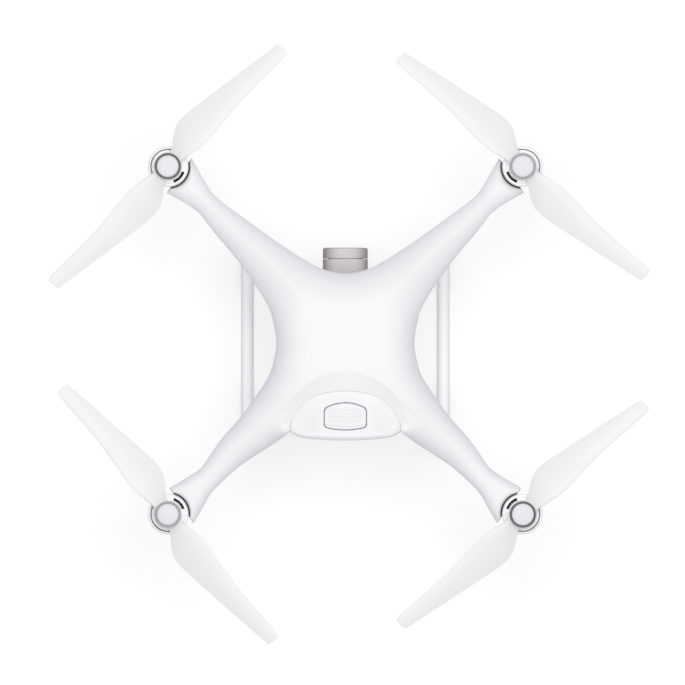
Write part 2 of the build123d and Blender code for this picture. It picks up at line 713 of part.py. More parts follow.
def battery_pieces(form):
    """Battery case with its exposed end, and its two latches."""
    end = form & prism(battery_cover_plan(0), 100, 200)
    inner = box(-BATTERY_HALF_X, BATTERY_HALF_X, BATTERY_FRONT, 55, BATTERY_LOW, BATTERY_HIGH)
    inner = fillet(inner.edges().filter_by(Axis.Y), 3)
    case = inner + end
    half = BATTERY_HALF_X - WALL
    case -= box(-half, half, BATTERY_FRONT + WALL, 42, BATTERY_LOW + WALL, BATTERY_HIGH - WALL)
    roof = surface_block(top_height, -2.6, -90)
    floor = surface_block(bottom_height, 2.6, 90)
    top_latch = (form & prism(latch_plan(0), 140, 200)) - roof
    bottom_latch = (form & prism(latch_plan(0), 90, 130)) - floor
    case -= prism(latch_plan(GAP), 155, 200)
    case -= prism(latch_plan(GAP), 90, 122)
    case -= rod_y(0, 66, 80, 143, 6.3)
    for x in CHARGE_LIGHT_X:
        case -= rod_y(x, 67, 80, 131, 1.25)
    case -= box(-12.5, 12.5, BATTERY_FRONT - 1, BATTERY_FRONT + 3, 137.5, 148.5)
    return case, top_latch, bottom_latch


def battery_cells():
    """Four flat cells stacked in the case."""
    cells = []
    for level in range(4):
        z = BATTERY_LOW + 2.6 + level * 8.7
        cell = box(-30, 30, -1.5, 41, z, z + 8.2)
        cells.append(fillet(cell.edges().filter_by(Axis.Y), 1.5))
    return Compound(cells)


def battery_connector():
    """Socket in the front end of the battery, open towards the bay's contacts."""
    block = box(-12.4, 12.4, BATTERY_FRONT, BATTERY_FRONT + 7, 137.6, 148.4)
    for x in (-9, -3, 3, 9):
        block -= box(x - 1.2, x + 1.2, BATTERY_FRONT - 1, BATTERY_FRONT + 5, 139.5, 146.5)
    return block


def power_button():
    """Round button in the rear face of the battery."""
    return rod_y(0, 67.8, 70.3, 143, 6.0)


def charge_lights():
    """Row of light pipes under the power button."""
    return Compound([rod_y(x, 67.5, 70.0, 131, 1.2) for x in CHARGE_LIGHT_X])


def link_button():
    """Pin of the link button, which stands through the port panel."""
    return rod_x(47.6, 50.6, -12, 130, 2.0)


def save(name, shape):
    """Write one node."""
    export_step(shape, f"parts/{name}.step")


def main():
    os.makedirs("parts", exist_ok=True)
    upper, lower, form = shells()
    save("upper_shell", upper)
    save("lower_shell", lower)
    save("chassis", chassis())
    save("main_board", main_board())
    save("speed_controller_left", speed_controller(1))
    save("speed_controller_right", speed_controller(-1))
    save("gps_module", gps_module())
    save("motor_bearings", motor_bearings())
    save("motor_screws", motor_screws())
    save("shell_screws", shell_screws())
    save("landing_gear_left", landing_gear(1, form))
    save("landing_gear_right", landing_gear(-1, form))
    save("skid_pads", skid_pads())
    save("gear_screws", gear_screws())
    save("leg_antennas", leg_antennas())
    save("front_vision_lenses", vision_lenses(-1))
    save("rear_vision_lenses", vision_lenses(1))
    save("downward_lenses", downward_lenses())
    save("sonar_sensors", sonar_sensors())
    save("infrared_windows", infrared_windows())
    save("front_lights", arm_lights(-1))
    save("rear_lights", arm_lights(1))
    save("port_panel", port_panel())
    save("data_sockets", data_sockets())
    save("bay_contacts", bay_contacts())
    save("damper_plate", damper_plate())
    save("gimbal_dampers", gimbal_dampers())
    save("yaw_motor", yaw_motor())
    for name, sx, sy, turn, angle in ROTORS:
        x, y = sx * MOTOR_X, sy * MOTOR_Y
        save(f"stator_{name}", stator(x, y))
        save(f"bell_{name}", bell(x, y))
        save(f"propeller_{name}", propeller(x, y, turn, angle))
        save(f"hub_ring_{name}", tube(x, y, HUB_TOP, 194, RING_OUT, RING_IN))
    save("yaw_arm", yaw_arm())
    save("roll_motor", roll_motor())
    save("roll_arm", roll_arm())
    save("pitch_motor", pitch_motor())
    save("camera_housing", camera_housing())
    save("lens_barrel", lens_barrel())
    save("lens_glass", lens_glass())
    case, top_latch, bottom_latch = battery_pieces(form)
    save("battery_case", case)
    save("battery_top_latch", top_latch)
    save("battery_bottom_latch", bottom_latch)
    save("battery_cells", battery_cells())
    save("battery_connector", battery_connector())
    save("power_button", power_button())
    save("charge_lights", charge_lights())
    save("link_button", link_button())


main()
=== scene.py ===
import json
import math
import bpy
import bmesh
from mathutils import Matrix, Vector
from mathutils.kdtree import KDTree


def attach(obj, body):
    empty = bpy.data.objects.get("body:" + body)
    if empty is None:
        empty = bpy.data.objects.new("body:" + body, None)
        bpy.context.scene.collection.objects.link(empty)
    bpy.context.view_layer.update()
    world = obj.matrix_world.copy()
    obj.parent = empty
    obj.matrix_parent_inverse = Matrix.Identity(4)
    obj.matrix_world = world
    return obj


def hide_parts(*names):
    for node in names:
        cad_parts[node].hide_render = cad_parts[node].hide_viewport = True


# A white camera quadcopter on a pale studio floor, seen from straight above.
# The frame is the CAD's: +Z up, the nose along -Y, the aircraft's left side along +X. The scene is in metres.
# The sizes and points of the pieces built here are in millimetres, and become metres in make_object and
# rounded_box.

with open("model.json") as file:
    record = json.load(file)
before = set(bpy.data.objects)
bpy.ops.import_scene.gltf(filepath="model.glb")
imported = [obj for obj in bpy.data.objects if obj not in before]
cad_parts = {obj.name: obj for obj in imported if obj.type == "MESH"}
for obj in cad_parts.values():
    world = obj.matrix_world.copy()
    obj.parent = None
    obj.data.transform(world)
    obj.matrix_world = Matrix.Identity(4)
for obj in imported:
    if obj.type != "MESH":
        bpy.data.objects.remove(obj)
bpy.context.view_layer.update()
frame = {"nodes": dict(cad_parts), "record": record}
MM = 0.001

# ---- sizes of the shells in millimetres ----
# Sizes that the CAD has too are the CAD's, apart from COVER_DIP, COVER_R, TAIL_R, BAY_GAP and GROOVE_HALF.
# Those, and the formulas for the dip at the battery's cover and for the battery's top, are set for the looks.
MOTOR_X, MOTOR_Y = 124.9, 122.5
PARTING_Z = 148.0  # joint line between the two shells
DOME_Z, ARM_TOP_Z = 181.0, 160.0  # top of the dome, and of an arm at its motor
BELLY_Z, ARM_BOTTOM_Z = 108.0, 139.0  # underside of the body, and of an arm at its motor
RIDGE_R = 14.0  # softness of the ridge where the arms' tops cross
DOME_REACH = (24.0, 150.0)  # distances along an arm between which the dome falls to the arm's top
BELLY_REACH = (62.0, 96.0)  # distances between which the belly rises to the arms
COVE_Z, COVE_Y = 131.0, -14.0  # roof and rear end of the recess over the camera
COVE_RAMP, COVE_SIDES = 9.0, (34.0, 46.0)  # length of its rear slope, and where its sides begin and end
SIDE_R, NECK_R = 22.0, 9.0  # width of the body's rounded sides, widest and at an arm's neck
SIDE_DEPTH = 0.68  # depth of a rounded side as a share of its width
NECK_ALONG, SIDE_GROWTH = 137.0, 0.21  # place of the neck along an arm, and how fast the sides widen from it
COVER_DIP, COVER_R = 3.6, 15.0  # dip of the shell to the front edge of the battery's cover, and its width
COVER_TAPER, TAPER_REACH = 0.40, (2, 36)  # share by which that width shrinks sideways, and over what
COVER_RISE = 0.9  # share of the dip that the battery's top regains
CREASE, CREASE_GAIN = 0.1, 0.25  # sharpness of the body's rounded sides, and what the apron adds to it
CREASE_REACH = (5.0, 35.0)  # distances ahead of the middle between which it is added
TAIL_R = 4.0  # rounding of the tail
CORNER_REACH = 16.0  # distance over which the shell's rounding grows from the tail's corners
BATTERY_X, BATTERY_TOP, BAY_GAP = 33.0, 152.0, 0.5  # the case that slides in under the shell
COVER_END_X, COVER_END_Y = 39.0, 62.0  # inside these, the shell's rear edge runs along the cover
COVER_LIP_R = 0.06  # rounding of the shell's edge at the cover
WALL_POINTS = ((1.6, 0.0), (0.35, 0.0), (0.0, 0.4))  # inset and height of the points under the shell's edge
ARM_END_DROPS = (0.15, 0.9)  # rounding of the last two rows at a motor
ARM_SKIRT = 0.8  # height over the joint line at which the wall at a motor ends
FORK_R = 15.5  # round end of an arm at its motor
BELL_TOP, GROOVE_R, GROOVE_HALF = 178.0, 12.05, 0.45  # top of a bell, and the radius and half width of the painted shade in its groove
MERGE_GAP = 0.02  # points closer than this become one
SEAM = 0.35  # half of the gap between the shells
COVER_SEAM = 0.05  # gap between the shell and the battery's cover
WAIST_Y = 3.0  # where the body is narrowest
CORNERS = {"fl": (1, -1), "fr": (-1, -1), "rl": (1, 1), "rr": (-1, 1)}

# Outline of the shells on the left side. Each bay runs from its middle, or the rear one from the tail's
# corner, out to the tip of an arm's horn.
FRONT_BAY = [(0, -47.2), (17.9, -51.1), (32.0, -58.8), (53.2, -73.0), (81.4, -93.4), (92.0, -101.9),
             (95.5, -106.1), (101.0, -115.4), (108.6, -128.7)]
SIDE_FRONT = [(48.7, 3.0), (50.4, -11.0), (54.6, -24.3), (67.3, -44.7), (81.4, -63.1), (95.5, -80.0),
              (102.6, -89.2), (109.6, -94.8), (126.2, -104.3)]
SIDE_REAR = [(48.7, 3.0), (50.6, 14.0), (54.6, 26.3), (73.9, 54.4), (89.3, 72.1), (101.7, 89.9),
             (107.9, 94.5), (124.1, 104.2)]
REAR_BAY = [(39.1, 64.5), (53.8, 75.2), (73.9, 88.3), (93.2, 106.1), (100.0, 117.0), (107.1, 129.2)]
TAIL_EDGE = [(0, 70.6), (17.9, 69.9), (32.0, 68.2), (39.1, 64.5)]
COVER_EDGE = [(0, 35.7), (21.4, 39.2), (32.0, 47.7), (39.1, 60.0)]

# How finely the shells are divided.
ALONG = 90  # divisions along each half bay
ACROSS = 30  # divisions from the outline to the arm's middle line
ARM_END = 155.0  # distance from the middle at which the arms' middle lines end
BEND_START = 0.80  # share of that distance from which the rows bend round the motor
EDGE_STEPS = [0.0, 0.25, 0.6, 1.1, 1.8, 2.7, 3.8, 5.2, 7.0, 9.0]  # distances of the first rows from the edge

# ---- propellers, in millimetres ----
# radius, trailing edge, leading edge, thickness, pitch in degrees
BLADE = [(5.8, -4.3, 3.9, 5.2, 17), (10.7, -7.2, 4.5, 4.4, 18), (18.1, -12.3, 5.7, 3.2, 19),
         (24.3, -15.8, 6.8, 2.7, 18), (30.1, -16.9, 7.4, 2.5, 17), (38.9, -16.4, 7.1, 2.2, 15.5),
         (50.6, -14.8, 6.0, 2.0, 13), (65.1, -12.6, 4.9, 1.8, 11), (82.6, -10.1, 4.6, 1.6, 9.5),
         (99.2, -7.6, 4.8, 1.4, 8), (109.9, -6.0, 5.0, 1.2, 7), (116.2, -5.2, 4.3, 1.0, 6.5)]
BLADE_Z = 186.0
BLADE_STATIONS, BLADE_AROUND = 80, 15  # sections along a blade, and points on each side of one
BLADE_CAMBER = 0.055  # arch of a blade's section as a share of its width
TIP_R = 1.8  # corner radius of a blade's tip
TIP_RAKE, TIP_RAKE_SPAN = 0.15, 12.0  # slant of a blade's end, and the length that it takes
LATHE_COUNT = 72  # sides of a turned piece
HUB_PROFILE = [(4.8, 180.3), (9.0, 180.3), (9.6, 180.9), (9.6, 189.2), (9.5, 189.7), (9.3, 189.95),
               (7.7, 190.0), (4.8, 190.0)]
CAP_PROFILE = [(7.7, 189.8), (7.7, 194.4), (7.5, 195.1), (7.0, 195.6), (6.3, 195.85), (4.0, 195.97),
               (2.0, 196.0), (0.02, 196.0)]
# motor, turning direction and the angle of its blades in degrees
ROTORS = [("fl", "clockwise", 45.6), ("fr", "counter", 138.4), ("rl", "counter", 130.1),
          ("rr", "clockwise", 41.8)]

# ---- battery, in millimetres ----
BATTERY_CASE = ((-33, -9, 112.5), (33, 46, 152))  # two corners of the case inside the bay
BATTERY_CASE_R = 3.0
END_X, END_LOW_Z = 39.12, 114.0  # half width of the exposed end, and the foot of its front face
END_COLUMNS, END_ROWS = 313, 130
LATCH_X, LATCH_FRONT, LATCH_REAR = 15.0, 43.8, 63.2
FRONT_ARCH, REAR_ARCH = 4.2, 2.0  # how far the latch's edges curve back towards its corners
LATCH_CORNER = 2.2  # corner radius of a latch in plan
LATCH_GAP, LATCH_RISE, LATCH_EDGE_R = 0.3, 0.15, 0.8  # gap round the latch, its height and its edge's radius
LATCH_COLUMNS, LATCH_ROWS = 180, 118
FINGER_DIP, FINGER_LENGTH = 0.7, 6.5  # dip behind the latch's front edge
REAR_RIDGE = 0.35  # height of the ridge near the latch's rear edge
RIB_X, RIB_FRONT, RIB_REAR = 12.2, 3.4, 4.4  # half width of the ribs, and their distance from either edge
RIB_DEPTH, RIB_SLOPE = 0.32, 0.7
RIB_PITCH = 2.7
POCKET_DEPTH, LATCH_SKIRT = 4.4, 1.6  # pocket under the latch, which presses in by 2 mm
UNDER_POCKET = 5.6  # height of the pocket over the lower latch
BUTTON_Z, BUTTON_R, BUTTON_POCKET = 143.0, 6.15, 4.6  # power button's height, radius and pocket depth
LIGHT_X = (-9.0, -3.0, 3.0, 9.0)  # charge lights in the battery's rear face
LIGHT_Z, LIGHT_R, LIGHT_POCKET = 131.0, 1.25, 3.4

# ---- looks and studio, with lengths in metres ----
SPLIT_ANGLE = math.radians(40)  # edges sharper than this stay sharp
FACING_UP, FACING_OUT = 0.96, 0.45  # upward tilt of a face at which its painted side shade starts and is full
CAMERA_HEIGHT = 12.0  # far enough for an almost parallel view
PICTURE_WIDTH = 0.4833  # width of the picture at the height of the arms
ARM_PLANE = 0.160  # that height
CAMERA_X, CAMERA_Y = 0.0020, 0.0015  # the picture's middle
FLOOR_SIZE, FLOOR_Z = 6.0, -0.0002


# ---- small helpers ----
def step(value, start, end):
    """Smooth step from 0 at start to 1 at end."""
    t = min(1.0, max(0.0, (value - start) / (end - start)))
    return t * t * (3 - 2 * t)


def mix(a, b, t):
    """Value at share t of the way from a to b."""
    return a + (b - a) * t


def spline(a, b, c, d, t):
    """Value at share t between b and c on the smooth curve through a, b, c and d."""
    return 0.5 * (2 * b + (c - a) * t + (2 * a - 5 * b + 4 * c - d) * t * t
                  + (3 * b - a - 3 * c + d) * t ** 3)


def smooth_curve(points, count):
    """Points along a smooth curve through the given points, evenly spaced.

    A curve that starts on the middle plane goes on as its own mirror image there."""
    pts = [Vector(p) for p in points]
    first = pts[0] * 2 - pts[1]
    if pts[0].x == 0:
        first = Vector((-pts[1].x, pts[1].y))
    elif pts[0].y == WAIST_Y:
        first = Vector((pts[1].x, 2 * WAIST_Y - pts[1].y))
    pts = [first] + pts + [pts[-1] * 2 - pts[-2]]
    dense = []
    for a, b, c, d in zip(pts, pts[1:], pts[2:], pts[3:]):
        for k in range(40):
            dense.append(spline(a, b, c, d, k / 40))
    dense.append(pts[-2].copy())
    lengths = [0.0]
    for a, b in zip(dense, dense[1:]):
        lengths.append(lengths[-1] + (b - a).length)
    result, k = [], 0
    for i in range(count):
        goal = lengths[-1] * i / (count - 1)
        while k < len(lengths) - 2 and lengths[k + 1] < goal:
            k += 1
        span = lengths[k + 1] - lengths[k]
        share = 0 if span == 0 else min(1, (goal - lengths[k]) / span)
        result.append(dense[k].lerp(dense[k + 1], share))
    return result


def make_object(name, verts, faces, material):
    """A smooth mesh object from millimetre points."""
    mesh = bpy.data.meshes.new(name)
    mesh.from_pydata([(x * MM, y * MM, z * MM) for x, y, z in verts], [], faces)
    mesh.validate()
    bm = bmesh.new()
    bm.from_mesh(mesh)
    bmesh.ops.remove_doubles(bm, verts=bm.verts, dist=MERGE_GAP * MM)
    bmesh.ops.recalc_face_normals(bm, faces=bm.faces)
    bm.to_mesh(mesh)
    bm.free()
    mesh.materials.append(material)
    mesh.shade_smooth()
    obj = bpy.data.objects.new(name, mesh)
    bpy.context.scene.collection.objects.link(obj)
    return obj


def split_edges(obj):
    """Keep the sharp edges of a smooth object sharp."""
    split = obj.modifiers.new("edges", "EDGE_SPLIT")
    split.split_angle = SPLIT_ANGLE


# ---- materials ----
def new_material(name):
    """A material with one Principled shader, with its nodes, links and shader."""
    material = bpy.data.materials.new(name)
    material.use_nodes = True
    nodes = material.node_tree.nodes
    nodes.clear()
    out = nodes.new("ShaderNodeOutputMaterial")
    shader = nodes.new("ShaderNodeBsdfPrincipled")
    material.node_tree.links.new(shader.outputs["BSDF"], out.inputs["Surface"])
    return material, nodes, material.node_tree.links, shader


def noise(nodes, links, scale, detail=4.0):
    """Noise texture in the object's own space."""
    place = nodes.new("ShaderNodeTexCoord")
    texture = nodes.new("ShaderNodeTexNoise")
    texture.inputs["Scale"].default_value = scale
    texture.inputs["Detail"].default_value = detail
    texture.inputs["Roughness"].default_value = 0.55
    links.new(place.outputs["Object"], texture.inputs["Vector"])
    return texture


def ramp(nodes, links, source, low, high):
    """Two-colour ramp over a texture's value."""
    node = nodes.new("ShaderNodeValToRGB")
    node.color_ramp.elements[0].position = 0.3
    node.color_ramp.elements[0].color = (*low, 1)
    node.color_ramp.elements[1].position = 0.7
    node.color_ramp.elements[1].color = (*high, 1)
    links.new(source, node.inputs["Fac"])
    return node


def surface(name, colour, rough, metal=0.0, vary=0.02, grain=1800.0, bump=0.04, coat=0.0,
            rough_vary=0.06, painted_side_shade=None, shine=0.5, glow=0.0):
    """Moulded plastic or metal with slight variation in colour, gloss and grain.

    With a side shade colour, faces take on that painted shade as they turn from level to upright."""
    material, nodes, links, shader = new_material(name)
    low = tuple(max(0.0, c * (1 - vary)) for c in colour)
    high = tuple(min(1.0, c * (1 + vary)) for c in colour)
    cloud = noise(nodes, links, 22.0)
    tint = ramp(nodes, links, cloud.outputs["Fac"], low, high)
    colour_out = tint.outputs["Color"]
    # Painted shade: the colour goes to the side shade colour as a face turns from level to upright.
    if painted_side_shade:
        geometry = nodes.new("ShaderNodeNewGeometry")
        parts = nodes.new("ShaderNodeSeparateXYZ")
        links.new(geometry.outputs["Normal"], parts.inputs["Vector"])
        upright = nodes.new("ShaderNodeMapRange")
        upright.inputs["From Min"].default_value = FACING_UP
        upright.inputs["From Max"].default_value = FACING_OUT
        links.new(parts.outputs["Z"], upright.inputs["Value"])
        blend = nodes.new("ShaderNodeMix")
        blend.data_type = "RGBA"
        links.new(upright.outputs["Result"], blend.inputs["Factor"])
        links.new(colour_out, blend.inputs["A"])
        blend.inputs["B"].default_value = (*painted_side_shade, 1)
        colour_out = blend.outputs["Result"]
    links.new(colour_out, shader.inputs["Base Color"])
    wear = noise(nodes, links, 60.0, 5.0)
    spread = nodes.new("ShaderNodeMapRange")
    spread.inputs["From Min"].default_value = 0.3
    spread.inputs["From Max"].default_value = 0.7
    spread.inputs["To Min"].default_value = max(0.02, rough - rough_vary)
    spread.inputs["To Max"].default_value = min(1.0, rough + rough_vary)
    links.new(wear.outputs["Fac"], spread.inputs["Value"])
    links.new(spread.outputs["Result"], shader.inputs["Roughness"])
    fine = noise(nodes, links, grain, 3.0)
    relief = nodes.new("ShaderNodeBump")
    relief.inputs["Strength"].default_value = bump
    relief.inputs["Distance"].default_value = 0.0001
    links.new(fine.outputs["Fac"], relief.inputs["Height"])
    links.new(relief.outputs["Normal"], shader.inputs["Normal"])
    shader.inputs["Metallic"].default_value = metal
    shader.inputs["Specular IOR Level"].default_value = shine
    shader.inputs["Emission Color"].default_value = (1, 1, 1, 1)
    shader.inputs["Emission Strength"].default_value = glow
    shader.inputs["Coat Weight"].default_value = coat
    shader.inputs["Coat Roughness"].default_value = 0.12
    return material


def math_node(nodes, links, operation, first, second=None):
    """One Math node whose inputs are sockets or numbers."""
    node = nodes.new("ShaderNodeMath")
    node.operation = operation
    for k, value in enumerate((first, second)):
        if value is None:
            continue
        if isinstance(value, float):
            node.inputs[k].default_value = value
        else:
            links.new(value, node.inputs[k])
    return node.outputs["Value"]


def groove_shade_mask(nodes, links):
    """1 inside the painted shade of the groove round the outer half of each bell's top, told by the distance
    to its axis.
    """
    geometry = nodes.new("ShaderNodeTexCoord")
    parts = nodes.new("ShaderNodeSeparateXYZ")
    links.new(geometry.outputs["Object"], parts.inputs["Vector"])
    squares, folded_axes = [], []
    for axis, centre in (("X", MOTOR_X), ("Y", MOTOR_Y)):
        folded = math_node(nodes, links, "ABSOLUTE", parts.outputs[axis])
        folded_axes.append(folded)
        offset = math_node(nodes, links, "SUBTRACT", folded, centre * MM)
        squares.append(math_node(nodes, links, "MULTIPLY", offset, offset))
    total = math_node(nodes, links, "ADD", squares[0], squares[1])
    distance = math_node(nodes, links, "SQRT", total)
    miss = math_node(nodes, links, "SUBTRACT", distance, GROOVE_R * MM)
    distance_off = math_node(nodes, links, "ABSOLUTE", miss)
    near = math_node(nodes, links, "LESS_THAN", distance_off, GROOVE_HALF * MM)
    above = math_node(nodes, links, "GREATER_THAN", parts.outputs["Z"], (BELL_TOP - 1.0) * MM)
    reach = math_node(nodes, links, "ADD", *folded_axes)
    outer = math_node(nodes, links, "GREATER_THAN", reach, (MOTOR_X + MOTOR_Y) * MM)
    near_top = math_node(nodes, links, "MULTIPLY", near, above)
    return math_node(nodes, links, "MULTIPLY", near_top, outer)


def motor_metal():
    """Pale satin metal with painted shade in the groove round the outer half of a bell's top."""
    material = surface("motor_metal", (0.74, 0.74, 0.75), 0.45, metal=0.1, shine=0.4)
    nodes, links = material.node_tree.nodes, material.node_tree.links
    shader = next(node for node in nodes if node.type == "BSDF_PRINCIPLED")
    plain = shader.inputs["Base Color"].links[0].from_socket
    blend = nodes.new("ShaderNodeMix")
    blend.data_type = "RGBA"
    links.new(groove_shade_mask(nodes, links), blend.inputs["Factor"])
    links.new(plain, blend.inputs["A"])
    # painted shade colour in the groove
    blend.inputs["B"].default_value = (0.13, 0.13, 0.14, 1)
    links.new(blend.outputs["Result"], shader.inputs["Base Color"])
    return material


# ---- the form of the shells ----
def plan_tree(curves):
    """Search tree over points along both sides' curves."""
    spots = []
    for curve in curves:
        for point in smooth_curve(curve, 600):
            spots += [(point.x, point.y, 0), (-point.x, point.y, 0)]
    tree = KDTree(len(spots))
    for k, spot in enumerate(spots):
        tree.insert(spot, k)
    tree.balance()
    return tree


SIDE_TREE = plan_tree([FRONT_BAY, SIDE_FRONT, SIDE_REAR, REAR_BAY, TAIL_EDGE])
COVER_TREE = plan_tree([COVER_EDGE])


def edge_profile(share, crease):
    """Fall of a rounded edge, from 1 at the edge to 0 where the share of its width reaches 1."""
    if share >= 1:
        return 0.0
    round_part = 0.45 * (1 - share) ** 3 + 0.55 * (1 - math.sqrt(1 - (1 - share) ** 2))
    return crease * (1 - share) + (1 - crease) * round_part


def top_height(x, y, on_battery=False):
    """Height of the upper surface: a dome along four arms, falling to rounded sides.

    A crease runs round the front apron, and the surface dips to the battery's cover. On the battery
    itself it rises again from that edge and is rounded at the tail."""
    along = (math.hypot(x, RIDGE_R) + math.hypot(y, RIDGE_R)) / math.sqrt(2)
    z = DOME_Z - (DOME_Z - ARM_TOP_Z) * step(along, *DOME_REACH)
    radius = min(SIDE_R, NECK_R + SIDE_GROWTH * max(0.0, NECK_ALONG - along))
    edge = SIDE_TREE.find((x, y, 0))[2]
    cover = COVER_TREE.find((x, y, 0))[2]
    reach = COVER_R * (1 - COVER_TAPER * step(abs(x), *TAPER_REACH))
    slope = max(0.0, 1 - cover / reach)
    dip = COVER_DIP * slope * min(1.0, 0.5 + 2.5 * slope)
    if on_battery:
        dip = COVER_DIP * (1 - COVER_RISE * step(cover, 0, 10 + 0.5 * abs(x)))
        radius = TAIL_R
    elif y > WAIST_Y:
        corner = math.hypot(abs(x) - TAIL_EDGE[-1][0], y - TAIL_EDGE[-1][1])
        radius = mix(TAIL_R, radius, step(corner, 0, CORNER_REACH))
    crease = CREASE + CREASE_GAIN * step(-y, *CREASE_REACH)
    side = SIDE_DEPTH * radius * edge_profile(edge / radius, crease)
    return z - max(side, dip * step(edge, 0, 6))


def bottom_height(x, y):
    """Height of the lower surface: a flat belly that steps up to the arms and over the camera."""
    along = (abs(x) + abs(y)) / math.sqrt(2)
    z = BELLY_Z + (ARM_BOTTOM_Z - BELLY_Z) * step(max(along, abs(y) + 6), *BELLY_REACH)
    cove = step(COVE_Y - y, 0, COVE_RAMP) * (1 - step(abs(x), *COVE_SIDES))
    return max(z, BELLY_Z + (COVE_Z - BELLY_Z) * cove)


def bay_rows(runs, arm):
    """Rows of plan points between half a bay's outline and the middle line of its arm.

    The first row lies in the middle of the bay and the last one on the round cut at the motor."""
    motor = Vector((arm[0] * MOTOR_X, arm[1] * MOTOR_Y))
    direction = motor.normalized()
    edge = [Vector((arm[0] * p.x, p.y)) for run in runs for p in smooth_curve(run, 400)]
    reach = [p.dot(direction) for p in edge]
    pairs, k = [], 0
    for i in range(ALONG + 1):
        u = i / ALONG
        goal = mix(reach[0], reach[-1], u)
        while k < len(reach) - 2 and reach[k + 1] < goal:
            k += 1
        gap = reach[k + 1] - reach[k]
        share = 0 if gap == 0 else min(1, max(0, (goal - reach[k]) / gap))
        outer = edge[k].lerp(edge[k + 1], share)
        pairs.append((outer, direction * (ARM_END * u)))
    horn, end_middle = pairs[-1]
    away = horn - motor
    axis_angle = math.atan2(-direction.y, -direction.x)
    turn = (math.atan2(away.y, away.x) - axis_angle + math.pi) % (2 * math.pi) - math.pi
    rows = []
    for i, (outer, middle) in enumerate(pairs):
        width = (middle - outer).length
        shares = [level / width for level in EDGE_STEPS if level < 0.5 * width]
        count = ACROSS - len(shares)
        start = shares[-1]
        shares += [mix(start, 1.0, (j + 1) / count) for j in range(count)]
        bend = step(i / ALONG, BEND_START, 1.0)
        row = []
        for share in shares:
            angle = axis_angle + turn * (1 - share)
            radius = mix(away.length, FORK_R, min(1.0, share * 8))
            arc = motor + Vector((math.cos(angle), math.sin(angle))) * radius
            row.append(outer.lerp(middle, share) + (arc - horn.lerp(end_middle, share)) * bend)
        rows.append(row)
    return rows


def edge_drop(distance, radius):
    """How far a rounded edge falls below the surface at a distance from the edge."""
    if distance >= radius:
        return 0.0
    return radius - math.sqrt(max(0.0, radius * radius - (radius - distance) ** 2))


def upper_half_bay(runs, arm, cover=False):
    """Grid of points over half a bay of the upper shell, with its wall down to the joint line.

    Over the battery, the wall ends above it."""
    grid = []
    rows = bay_rows(runs, arm)
    for i, row in enumerate(rows):
        edge = row[0]
        inward = (row[2] - row[0]).normalized()
        on_cover = cover and abs(edge.x) < COVER_END_X and edge.y < COVER_END_Y
        radius = COVER_LIP_R if on_cover else 0.0
        over_battery = on_cover and abs(edge.x) < BATTERY_X + 1
        bottom = BATTERY_TOP + BAY_GAP if over_battery else PARTING_Z + SEAM
        line = []
        for inset, rise in WALL_POINTS:
            line.append((edge.x + inward.x * inset, edge.y + inward.y * inset, bottom + rise))
        for point in row:
            distance = (point - edge).length
            z = top_height(point.x, point.y) - edge_drop(distance, radius)
            if i == len(rows) - 1:
                z -= ARM_END_DROPS[1]
            elif i == len(rows) - 2:
                z -= ARM_END_DROPS[0]
            line.append((point.x, point.y, z))
        grid.append(line)
    last = grid[-1]
    grid.append([(x, y, min(z, PARTING_Z + ARM_SKIRT)) for x, y, z in last])
    return grid


def grid_faces(start, rows, columns):
    """Four-sided faces over a grid whose first point has the number start."""
    faces = []
    for i in range(rows - 1):
        for j in range(columns - 1):
            a = start + i * columns + j
            faces.append((a, a + 1, a + columns + 1, a + columns))
    return faces


def build_upper_shell(material):
    """The smooth X-shaped upper shell, up to the front edge of the battery's cover."""
    verts, faces = [], []
    rear = [COVER_EDGE, REAR_BAY]
    bays = [([FRONT_BAY], "fl"), ([FRONT_BAY], "fr"), ([SIDE_FRONT], "fl"), ([SIDE_FRONT], "fr"),
            ([SIDE_REAR], "rl"), ([SIDE_REAR], "rr"), (rear, "rl"), (rear, "rr")]
    for runs, corner in bays:
        grid = upper_half_bay(runs, CORNERS[corner], cover=runs is rear)
        faces += grid_faces(len(verts), len(grid), len(grid[0]))
        for line in grid:
            verts += line
    return make_object("shell_top", verts, faces, material)


# ---- propellers ----
def table_value(table, position, column):
    """Smooth value from a table of rows that start with a position."""
    k = 0
    while k < len(table) - 2 and table[k + 1][0] < position:
        k += 1
    rows = [table[max(0, k - 1)], table[k], table[k + 1], table[min(len(table) - 1, k + 2)]]
    a, b, c, d = (row[column] for row in rows)
    t = min(1.0, max(0.0, (position - rows[1][0]) / (rows[2][0] - rows[1][0])))
    return spline(a, b, c, d, t)


